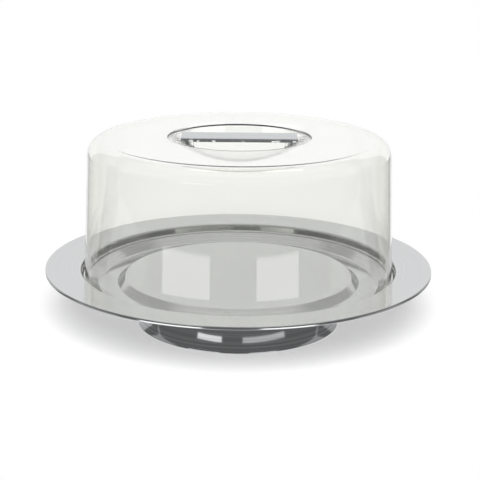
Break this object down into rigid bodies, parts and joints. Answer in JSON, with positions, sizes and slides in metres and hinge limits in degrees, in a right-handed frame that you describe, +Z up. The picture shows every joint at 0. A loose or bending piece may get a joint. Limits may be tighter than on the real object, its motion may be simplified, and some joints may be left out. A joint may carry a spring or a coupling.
{
  "type": "pedestal cake stand",
  "caption": "Dished round steel cake plate on a low bell foot, with a clear lift-off cover that has a finger dish and a metal handle bar.",
  "frame": {"origin": "on the table, under the plate's centre", "axes": "+Z up along the stand's axis; X along the handle bar; the picture looks along +Y"},
  "size_m": [0.3599, 0.36, 0.1775],
  "materials": {
    "polished_steel": "finely spun, almost mirror",
    "satin_steel": "satin, grain along the bar",
    "fastener_steel": "bright zinc plate",
    "clear_plastic": "clear, polished moulding",
    "foot_rubber": "matt"
  },
  "bodies": {
    "stand": {"plate": "polished_steel", "foot": "polished_steel", "foot_ring": "foot_rubber", "weld_stud": "fastener_steel", "clamp_washer": "fastener_steel", "spring_washer": "fastener_steel", "wing_nut": "fastener_steel"},
    "cover": {"dome": "clear_plastic", "handle_bar": "satin_steel", "handle_screws": "fastener_steel", "handle_washers": "fastener_steel"}
  },
  "joints": [
    {"name": "cover_lift", "type": "slide", "parent": "stand", "child": "cover", "axis": [0, 0, 1], "range_m": [0, 0.15]}
  ]
}
